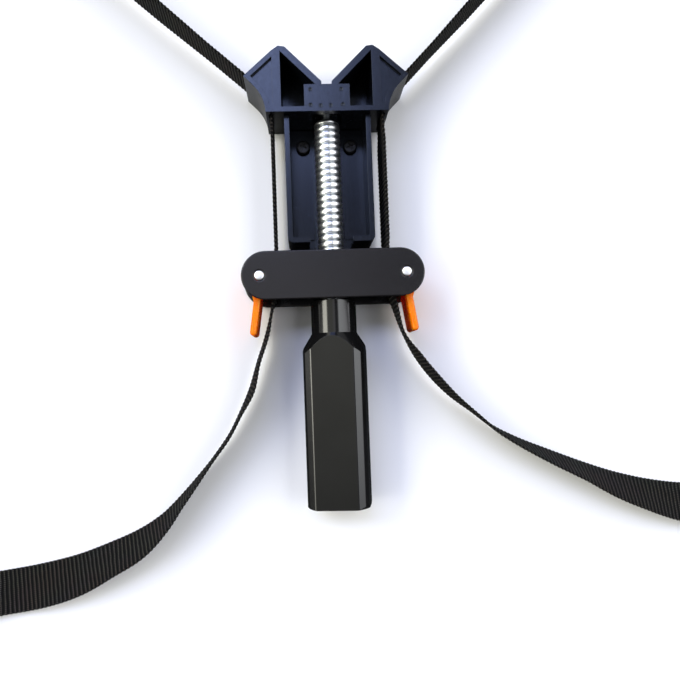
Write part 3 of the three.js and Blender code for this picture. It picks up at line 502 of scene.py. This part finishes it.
head = from_node("corner_head", "moulded_head")
round_edges(head, radius=0.00045)
# Shallow dimples of the ejector pins on the thrust block.
block_top_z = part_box("corner_head")[1][2]
dimple_radius, dimple_depth = 0.0013, 0.0004
for x, y in ((-0.0075, 0.0035), (0.0065, 0.0035), (-0.0075, -0.0035), (0.0070, -0.0035),
             (-0.0030, -0.0038), (0.0015, -0.0038)):
    cut_away(head, added(
        bpy.ops.mesh.primitive_uv_sphere_add, segments=32, ring_count=16, radius=dimple_radius,
        location=(x, y, block_top_z + dimple_radius - dimple_depth),
    ))
finished(head, black_moulding)
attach(head, "head")
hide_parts("corner_head")


# Slide channel
# A separate black moulding under the head, with two lips at its open end and raised pads.
channel = from_node("slide_channel", "moulded_channel")
round_edges(channel, radius=0.0003, steps=2)
finished(channel, black_moulding)
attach(channel, "head")
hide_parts("slide_channel")


# Channel screws
# Two small dark cross-head screws that hold the channel on the head's tongue.
screw_x, screw_y, screw_seat_z = 0.0113, -0.0152, 0.0045
screw_head_radius, screw_head_height, screw_head_round = 0.0033, 0.0019, 0.0009
screw_shank_share, screw_shank_length = 0.45, 0.004
screw_slot = (0.0038, 0.0009, 0.0016)
screw_turn_degrees = 20
end_facing = 0.9
black_oxide, shader = moulded(
    "black_oxide", (0.008, 0.008, 0.009), (0.018, 0.018, 0.02), 0.36, 0.1, 0.00003, (4000.0, 700.0, 1500.0),
)
shader.inputs["Metallic"].default_value = 0.3

for side, word in ((-1, "left"), (1, "right")):
    screw = added(
        bpy.ops.mesh.primitive_cylinder_add, vertices=48, radius=screw_head_radius, depth=screw_head_height,
        location=(side * screw_x, screw_y, screw_seat_z + screw_head_height / 2),
    )
    screw.name = f"channel_screw_{word}_head"
    edit(screw)
    bpy.ops.mesh.select_all(action="DESELECT")
    bpy.ops.mesh.select_mode(type="FACE")
    done()
    for face in screw.data.polygons:
        face.select = face.normal.z < -end_facing
    edit(screw)
    bpy.ops.mesh.extrude_region_move(TRANSFORM_OT_translate={"value": (0, 0, 0)})
    bpy.ops.transform.resize(value=(screw_shank_share, screw_shank_share, 1))
    bpy.ops.mesh.extrude_region_move(TRANSFORM_OT_translate={"value": (0, 0, -screw_shank_length)})
    done()
    round_edges(screw, radius=screw_head_round, steps=4, over=50)
    for turn in (0, 90):
        cut_away(screw, added(
            bpy.ops.mesh.primitive_cube_add, size=1, scale=screw_slot,
            rotation=(0, 0, math.radians(turn + screw_turn_degrees * side)),
            location=(side * screw_x, screw_y, screw_seat_z + screw_head_height),
        ))
    finished(screw, black_oxide)
    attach(screw, "head")
    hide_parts(f"channel_screw_{word}")


# Spindle
# A bright zinc-plated steel rod, 12 mm thick with a 3 mm trapezoid thread, whose neck and
# collar turn in the head's thrust block and whose plain stub sits in the handle.
spindle_z = 0.014
thread_pitch = 0.003
thread_low_y, thread_high_y = -0.0907, -0.0066
thread_steps, thread_turns, spare_turns = 48, 31, 1.5
thread_root_radius, thread_crest_radius, thread_run_out = 0.0049, 0.0058, 0.9
# One turn of the thread: radius, and rise along the axis.
thread_profile = [
    (0.00495, 0.00000), (0.00495, 0.00010), (0.00525, 0.00024), (0.00556, 0.00036), (0.00578, 0.00050),
    (0.00591, 0.00070), (0.00598, 0.00100), (0.00600, 0.00150), (0.00598, 0.00200), (0.00591, 0.00230),
    (0.00578, 0.00250), (0.00556, 0.00264), (0.00525, 0.00276), (0.00495, 0.00290), (0.00495, 0.00300),
]
mesh = bpy.data.meshes.new("threaded_spindle")
mesh.from_pydata([(radius, rise, 0) for radius, rise in thread_profile],
                 [(index, index + 1) for index in range(len(thread_profile) - 1)], [])
spindle = bpy.data.objects.new("threaded_spindle", mesh)
bpy.context.scene.collection.objects.link(spindle)
apply_modifier(
    spindle, "SCREW", axis="Y", angle=2 * math.pi, screw_offset=thread_pitch, iterations=thread_turns,
    steps=thread_steps, render_steps=thread_steps, use_merge_vertices=False, use_smooth_shade=True,
)
edit(spindle)
bpy.ops.mesh.select_all(action="SELECT")
bpy.ops.mesh.remove_doubles(threshold=weld_distance)
bpy.ops.transform.translate(value=(0, thread_low_y - spare_turns * thread_pitch, 0))
for height, way in ((thread_low_y, -1), (thread_high_y, 1)):
    bpy.ops.mesh.select_all(action="SELECT")
    bpy.ops.mesh.bisect(plane_co=(0, height, 0), plane_no=(0, way, 0), use_fill=True, clear_outer=True)
done()
# The thread's first and last turns run out on a chamfer.
for corner in spindle.data.vertices:
    radius = math.hypot(corner.co.x, corner.co.z)
    to_end = min(corner.co.y - thread_low_y, thread_high_y - corner.co.y)
    limit = thread_root_radius + max(to_end, 0.0) * thread_run_out
    if radius > limit:
        corner.co.x *= limit / radius
        corner.co.z *= limit / radius
edit(spindle)
bpy.ops.mesh.select_all(action="SELECT")
bpy.ops.transform.translate(value=(0, 0, spindle_z))
bpy.ops.mesh.normals_make_consistent(inside=False)
done()


def turned(name, profile, middle_z, steps=64):
    """A round part spun about the spindle's axis from a line of (radius, y)"""
    mesh = bpy.data.meshes.new(name)
    mesh.from_pydata([(radius, y, middle_z) for radius, y in profile],
                     [(index, index + 1) for index in range(len(profile) - 1)], [])
    piece = bpy.data.objects.new(name, mesh)
    bpy.context.scene.collection.objects.link(piece)
    edit(piece)
    bpy.ops.mesh.select_all(action="SELECT")
    bpy.ops.mesh.spin(steps=steps, angle=2 * math.pi, center=(0, 0, middle_z), axis=(0, 1, 0))
    bpy.ops.mesh.select_all(action="SELECT")
    bpy.ops.mesh.remove_doubles(threshold=weld_distance)
    bpy.ops.mesh.normals_make_consistent(inside=False)
    done()
    return piece


pin_radius, collar_radius, groove_radius = 0.0023, 0.005, 0.0016
neck = turned("spindle_neck", [
    (0, -0.0075), (pin_radius, -0.0075), (pin_radius, -0.004), (collar_radius, -0.004),
    (collar_radius, -0.0028), (pin_radius, -0.0028), (pin_radius, 0.0025), (groove_radius, 0.0025),
    (groove_radius, 0.0037), (pin_radius, 0.0037), (pin_radius, 0.0042), (0, 0.0042),
], spindle_z)
stub = turned("spindle_stub", [
    (0, -0.1147), (0.0037, -0.1147), (0.004, -0.1144), (0.004, -0.0895), (0, -0.0895),
], spindle_z)
bpy.ops.object.select_all(action="DESELECT")
for part in (neck, stub, spindle):
    part.select_set(True)
bpy.context.view_layer.objects.active = spindle
bpy.ops.object.join()

# Zinc: painted shade that darkens the colour from the crests down into the thread roots, and faint marks that
# vary the gloss.
zinc, nodes, links, shader = material_of("zinc_plate", (0.78, 0.80, 0.82), 0.2, 1.0)
spot = node_of(nodes, "ShaderNodeTexCoord")
to_axis = node_of(nodes, "ShaderNodeMapping", {"Location": (0, 0, -spindle_z)})
links.new(spot.outputs["Object"], to_axis.inputs["Vector"])
level = node_of(nodes, "ShaderNodeVectorMath", {1: (1, 0, 1)}, operation="MULTIPLY")
links.new(to_axis.outputs["Vector"], level.inputs[0])
reach = node_of(nodes, "ShaderNodeVectorMath", operation="LENGTH")
links.new(level.outputs["Vector"], reach.inputs[0])
depth = node_of(nodes, "ShaderNodeMapRange", {
    "From Min": thread_root_radius, "From Max": thread_crest_radius, "To Min": 0.0, "To Max": 1.0,
})
links.new(reach.outputs["Value"], depth.inputs["Value"])
marks = node_of(nodes, "ShaderNodeTexNoise", {"Scale": 900.0, "Detail": 4.0, "Roughness": 0.65})
links.new(spot.outputs["Object"], marks.inputs["Vector"])
# Painted shade: the colour falls from bright at the crests to dark in the roots.
painted_root_shade = ramp_of(nodes, links, depth.outputs["Result"], [
    (0.0, (0.34, 0.36, 0.38)), (0.4, (0.66, 0.68, 0.70)), (0.8, (0.88, 0.90, 0.90)),
])
links.new(painted_root_shade, shader.inputs["Base Color"])
uneven_gloss(nodes, links, shader, marks.outputs["Fac"], 0.24, 0.38)
bumped(nodes, links, shader, marks.outputs["Fac"], 0.25, 0.00004)
finished(spindle, zinc, 35)
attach(spindle, "spindle")
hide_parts("spindle")


# Retaining ring and spindle nut
# Plain steel parts inside the mouldings, kept as they are and given bright steel.
bright_steel, nodes, links, shader = material_of("bright_steel", (0.9, 0.9, 0.92), 0.38, 1.0)
spot = node_of(nodes, "ShaderNodeTexCoord")
brushed = node_of(nodes, "ShaderNodeTexNoise", {"Scale": 1400.0, "Detail": 4.0, "Roughness": 0.7})
links.new(spot.outputs["Object"], brushed.inputs["Vector"])
uneven_gloss(nodes, links, shader, brushed.outputs["Fac"], 0.3, 0.46)
tint = ramp_of(nodes, links, brushed.outputs["Fac"], [(0.3, (0.84, 0.84, 0.86)), (0.7, (0.96, 0.96, 0.97))])
links.new(tint, shader.inputs["Base Color"])
bumped(nodes, links, shader, brushed.outputs["Fac"], 0.2, 0.00003)
for node in ("retaining_ring", "spindle_nut"):
    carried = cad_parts[node]
    carried.data.materials.clear()
    carried.data.materials.append(bright_steel)


# Handle
# A glossy black moulding: a round neck, a cone, and a grip with four flats and faceted corners.
handle_top_y, neck_end_y, cone_end_y, grip_end_y = -0.0907, -0.1055, -0.1147, -0.1843
neck_radius, grip_radius, grip_end_chamfer = 0.0104, 0.0161, 0.0016
grip_width, grip_depth, grip_corner_radius = 0.0278, 0.0224, 0.0043
stub_bore_radius, stub_bore_depth = 0.0043, 0.0243
handle_turn = math.radians(-10)
handle_steps, handle_round, handle_flat_degrees = 128, 0.0004, 0.4
flats_length, flats_middle_y, long_edge = 0.12, -0.138, 0.01
handle = turned("gloss_handle", [
    (0, grip_end_y), (grip_radius - grip_end_chamfer, grip_end_y),
    (grip_radius, grip_end_y + grip_end_chamfer),
    (grip_radius, cone_end_y), (neck_radius, neck_end_y), (neck_radius, handle_top_y),
    (stub_bore_radius, handle_top_y), (stub_bore_radius, handle_top_y - stub_bore_depth),
    (0, handle_top_y - stub_bore_depth),
], spindle_z, handle_steps)
flats = added(
    bpy.ops.mesh.primitive_cube_add, size=1, scale=(grip_width, flats_length, grip_depth),
    location=(0, flats_middle_y, spindle_z), rotation=(0, handle_turn, 0),
)
bpy.ops.object.transform_apply(location=False, rotation=False, scale=True)
edit(flats)
bpy.ops.mesh.select_mode(type="EDGE")
bpy.ops.mesh.select_all(action="DESELECT")
done()
for radius, faces in ((grip_corner_radius, 2), (handle_round, 4)):
    for edge in flats.data.edges:
        first, second = (flats.data.vertices[end].co for end in edge.vertices)
        edge.select = abs(first.y - second.y) > long_edge
    edit(flats)
    bpy.ops.mesh.bevel(offset=radius, segments=faces)
    done()
apply_modifier(handle, "BOOLEAN", operation="INTERSECT", solver="EXACT", object=flats)
bpy.data.objects.remove(flats)
edit(handle)
bpy.ops.mesh.select_all(action="SELECT")
bpy.ops.mesh.remove_doubles(threshold=weld_distance)
bpy.ops.mesh.dissolve_limited(angle_limit=math.radians(handle_flat_degrees))
done()
round_edges(handle, radius=handle_round, over=20)
gloss_black, shader = moulded(
    "gloss_black", (0.004, 0.004, 0.0042), (0.006, 0.006, 0.0062), 0.12, 0.03, 0.00001, (1500.0, 60.0, 250.0),
)
shader.inputs["Specular IOR Level"].default_value = 0.6
finished(handle, gloss_black, 20)
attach(handle, "spindle")
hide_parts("handle")


# Crossbar plates
# Two pressed steel plates with round ends and a soft edge, coated in charcoal.
bar_middle_y, bar_radius, bar_centre_x = -0.07955, 0.01085, 0.030
plate_thickness, plate_steps = 0.0018, 128
front_plate_z, back_plate_overhang = 0.0262, 0.0008
rivet_x, rivet_radius, rivet_hole_radius = 0.03285, 0.00205, 0.00235
hole_tool_length, plate_round = 0.01, 0.0006
charcoal, _ = moulded(
    "charcoal_coat", (0.0075, 0.0068, 0.0078), (0.0095, 0.0088, 0.0098), 0.24, 0.03, 0.00002,
    (3200.0, 40.0, 500.0),
)


def plate(name, bottom_z, overhang, node):
    """A disc drawn apart into a long plate with round ends and two rivet holes"""
    piece = added(
        bpy.ops.mesh.primitive_cylinder_add, vertices=plate_steps, radius=bar_radius + overhang,
        depth=plate_thickness, location=(0, bar_middle_y, bottom_z + plate_thickness / 2),
        rotation=(0, 0, math.pi / plate_steps),
    )
    piece.name = name
    bpy.ops.object.transform_apply(location=False, rotation=True, scale=True)
    for way in (-1, 1):
        edit(piece)
        bpy.ops.mesh.select_mode(type="VERT")
        bpy.ops.mesh.select_all(action="DESELECT")
        done()
        for corner in piece.data.vertices:
            corner.select = corner.co.x * way > 0
        edit(piece)
        bpy.ops.transform.translate(value=(way * bar_centre_x, 0, 0))
        done()
    for side in (-1, 1):
        cut_away(piece, added(
            bpy.ops.mesh.primitive_cylinder_add, vertices=48, radius=rivet_hole_radius,
            depth=hole_tool_length, location=(side * rivet_x, bar_middle_y, bottom_z),
        ))
    round_edges(piece, radius=plate_round, steps=4, over=40)
    finished(piece, charcoal)
    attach(piece, "crossbar")
    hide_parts(node)


plate("front_plate_coated", front_plate_z, 0.0, "front_plate")
plate("back_plate_coated", 0.0, back_plate_overhang, "back_plate")


# Housing between the plates
# A black moulding with a nut block in the channel and a walled room for each cam.
housing = from_node("housing_block", "moulded_housing")
round_edges(housing, radius=0.00025, steps=2)
finished(housing, black_moulding)
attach(housing, "crossbar")
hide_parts("housing_block")


# Pivot rivets
# Bright steel pins through both plates, each with a low peened dome in front.
rivet_length, rivet_middle_z = 0.0275, 0.01425
dome_rings = ((0.94, 0.00010), (0.9, 0.00008), (0.84, 0.00007), (0.74, 0.00005), (0.5, 0.00003))
for side, word in ((-1, "left"), (1, "right")):
    rivet = added(
        bpy.ops.mesh.primitive_cylinder_add, vertices=64, radius=rivet_radius, depth=rivet_length,
        location=(side * rivet_x, bar_middle_y, rivet_middle_z),
    )
    rivet.name = f"peened_rivet_{word}"
    edit(rivet)
    bpy.ops.mesh.select_mode(type="FACE")
    bpy.ops.mesh.select_all(action="DESELECT")
    done()
    for face in rivet.data.polygons:
        face.select = face.normal.z > end_facing
    edit(rivet)
    for share, rise in dome_rings:
        bpy.ops.mesh.extrude_region_move(TRANSFORM_OT_translate={"value": (0, 0, rise)})
        bpy.ops.transform.resize(value=(share, share, 1))
    bpy.ops.mesh.merge(type="CENTER")
    done()
    finished(rivet, bright_steel, 50)
    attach(rivet, "crossbar")
    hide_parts(f"pivot_rivet_{word}")


# Cam levers
# Orange plastic mouldings: a toothed cam that bites the band and a finger arm with soft edges.
orange, shader = moulded(
    "orange_moulding", (0.86, 0.21, 0.002), (0.94, 0.26, 0.003), 0.26, 0.06, 0.00003, (2200.0, 120.0, 500.0),
)
shader.inputs["Subsurface Weight"].default_value = 0.8
shader.inputs["Subsurface Radius"].default_value = (1.0, 0.10, 0.03)
shader.inputs["Subsurface Scale"].default_value = 0.006
shader.inputs["Specular IOR Level"].default_value = 0.3
lever_arm_top_y, lever_rim_round, rim_tolerance = -0.0885, 0.0011, 1e-6
for word in ("left", "right"):
    lever = from_node(f"lever_{word}", f"cam_lever_{word}")
    edit(lever)
    bpy.ops.mesh.select_mode(type="EDGE")
    bpy.ops.mesh.select_all(action="DESELECT")
    done()
    for edge in lever.data.edges:
        ends = [lever.data.vertices[end].co for end in edge.vertices]
        on_rim = abs(ends[0].z - ends[1].z) < rim_tolerance
        edge.select = on_rim and all(end.y < lever_arm_top_y for end in ends)
    edit(lever)
    bpy.ops.mesh.bevel(offset=lever_rim_round, segments=5, clamp_overlap=False)
    done()
    finished(lever, orange, 35)
    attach(lever, f"lever_{word}")
    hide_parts(f"lever_{word}")


# Corner jaws
# Three loose black mouldings, one shape, that carry the band round the work's other corners.
jaw = from_node("corner_jaw_top", "moulded_jaw_top")
round_edges(jaw, radius=0.00035, steps=2)
finished(jaw, black_moulding)
left_corner, top_corner, right_corner = (Vector((corner.x, corner.y, 0)) for corner in free_corners)
jaws = [(jaw, "corner_jaw_top")]
for word, corner, way in (("left", left_corner, 1), ("right", right_corner, -1)):
    other = bpy.data.objects.new(f"moulded_jaw_{word}", jaw.data.copy())
    bpy.context.scene.collection.objects.link(other)
    quarter_turn = Matrix.Rotation(way * math.pi / 2, 4, "Z")
    other.data.transform(Matrix.Translation(corner) @ quarter_turn @ Matrix.Translation(-top_corner))
    jaws.append((other, f"corner_jaw_{word}"))
for piece, node in jaws:
    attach(piece, "head")
    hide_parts(node)


# Floor and light
# A plain pale floor under a studio's sky: a tall warm box at the left, a cooler one at the right,
# a blue one behind the head, and dark flags between them.
floor_size, floor_gap = 6, 0.0002
floor = added(bpy.ops.mesh.primitive_plane_add, size=floor_size, location=(0, 0, -floor_gap))
floor.name = "floor"
floor_paint, nodes, links, shader = material_of("floor_paint", (0.86, 0.86, 0.87), 0.8)
shader.inputs["Specular IOR Level"].default_value = 0.1
spot = node_of(nodes, "ShaderNodeTexCoord")
mist = node_of(nodes, "ShaderNodeTexNoise", {"Scale": 3.0, "Detail": 1.0})
links.new(spot.outputs["Object"], mist.inputs["Vector"])
pale = ramp_of(nodes, links, mist.outputs["Fac"], [(0.3, (0.87, 0.87, 0.88)), (0.7, (0.89, 0.89, 0.90))])
# Painted reflection: glossy pieces see the floor painted dark, as shade in their reflections, growing paler
# beside the head.
dark_up_to_y, pale_from_y = -0.025, 0.0
axes = nodes.new("ShaderNodeSeparateXYZ")
links.new(spot.outputs["Object"], axes.inputs["Vector"])
painted_reflection_shade = node_of(nodes, "ShaderNodeMapRange", {
    "From Min": dark_up_to_y, "From Max": pale_from_y, "To Min": 0.03, "To Max": 0.42,
})
links.new(axes.outputs["Y"], painted_reflection_shade.inputs["Value"])
ray = nodes.new("ShaderNodeLightPath")
seen = node_of(nodes, "ShaderNodeMix", data_type="RGBA")
links.new(ray.outputs["Is Glossy Ray"], seen.inputs["Factor"])
links.new(pale, seen.inputs["A"])
links.new(painted_reflection_shade.outputs["Result"], seen.inputs["B"])
links.new(seen.outputs["Result"], shader.inputs["Base Color"])
floor.data.materials.append(floor_paint)

# A place in the sky is given by two slopes from straight up: one to the right, and one to the back.
world = bpy.data.worlds.new("studio")
world.use_nodes = True
nodes, links = world.node_tree.nodes, world.node_tree.links
toward = nodes.new("ShaderNodeTexCoord")
way = nodes.new("ShaderNodeSeparateXYZ")
links.new(toward.outputs["Generated"], way.inputs["Vector"])
height = node_of(nodes, "ShaderNodeMath", {1: 0.02}, operation="MAXIMUM")
links.new(way.outputs["Z"], height.inputs[0])
slopes = []
for axis in ("X", "Y"):
    slope = node_of(nodes, "ShaderNodeMath", operation="DIVIDE")
    links.new(way.outputs[axis], slope.inputs[0])
    links.new(height.outputs["Value"], slope.inputs[1])
    slopes.append(slope.outputs["Value"])
to_right, to_back = slopes


def sky_ramp(slope, stops, full=1.0):
    """Colours over a slope, each divided by the colour that counts as full"""
    low, high = stops[0][0], stops[-1][0]
    place = node_of(nodes, "ShaderNodeMapRange", {"From Min": low, "From Max": high})
    links.new(slope, place.inputs["Value"])
    return ramp_of(nodes, links, place.outputs["Result"], [
        ((at - low) / (high - low), [part / full for part in colour]) for at, colour in stops
    ])


def sky_fade(slope, stops):
    return sky_ramp(slope, [(at, (share, share, share)) for at, share in stops])


def sky_mix(blend, a, b):
    mix = node_of(nodes, "ShaderNodeMix", {"Factor": 1.0}, data_type="RGBA", blend_type=blend)
    links.new(a, mix.inputs["A"])
    links.new(b, mix.inputs["B"])
    return mix.outputs["Result"]


full_radiance = 9.0
sides = sky_ramp(to_right, [
    (-8.0, (0.8, 0.8, 0.75)), (-1.77, (1.0, 1.0, 0.95)), (-1.63, (8.4, 8.3, 7.3)), (-0.80, (8.4, 8.3, 7.3)),
    (-0.70, (0.66, 0.66, 0.59)), (-0.15, (0.66, 0.66, 0.59)),
    (-0.05, (0.88, 0.86, 0.90)), (0.05, (0.88, 0.86, 0.90)), (0.10, (0.07, 0.07, 0.08)),
    (0.34, (0.2, 0.2, 0.22)), (0.42, (3.4, 3.5, 3.6)), (1.6, (2.6, 2.6, 2.7)), (4.0, (1.8, 1.8, 1.9)),
], full_radiance)
side_fade = sky_fade(to_back, [
    (-1.0, 0.05), (-0.3, 0.4), (0.03, 1.0), (0.18, 1.0), (0.24, 0.25), (0.33, 0.25), (0.42, 1.0), (1.2, 1.0),
    (1.6, 0.12),
])
behind = sky_ramp(to_back, [
    (0.32, (0.0, 0.0, 0.0)), (0.38, (4.1, 4.7, 7.5)), (0.58, (4.1, 4.7, 7.5)), (0.70, (0.4, 0.5, 1.0)),
    (1.9, (0.3, 0.4, 0.9)),
], full_radiance)
behind_fade = sky_fade(to_right, [(-0.9, 0.0), (-0.7, 1.0), (0.03, 1.0), (0.08, 0.0)])
boxes = sky_mix("ADD", sky_mix("MULTIPLY", sides, side_fade), sky_mix("MULTIPLY", behind, behind_fade))
sky = nodes["Background"]
sky.inputs["Strength"].default_value = full_radiance
ray = nodes.new("ShaderNodeLightPath")
seen = node_of(nodes, "ShaderNodeMix", {"B": (0.11, 0.11, 0.11, 1)}, data_type="RGBA")
links.new(ray.outputs["Is Camera Ray"], seen.inputs["Factor"])
links.new(boxes, seen.inputs["A"])
links.new(seen.outputs["Result"], sky.inputs["Color"])
bpy.context.scene.world = world
bpy.context.scene.view_settings.view_transform = "Standard"
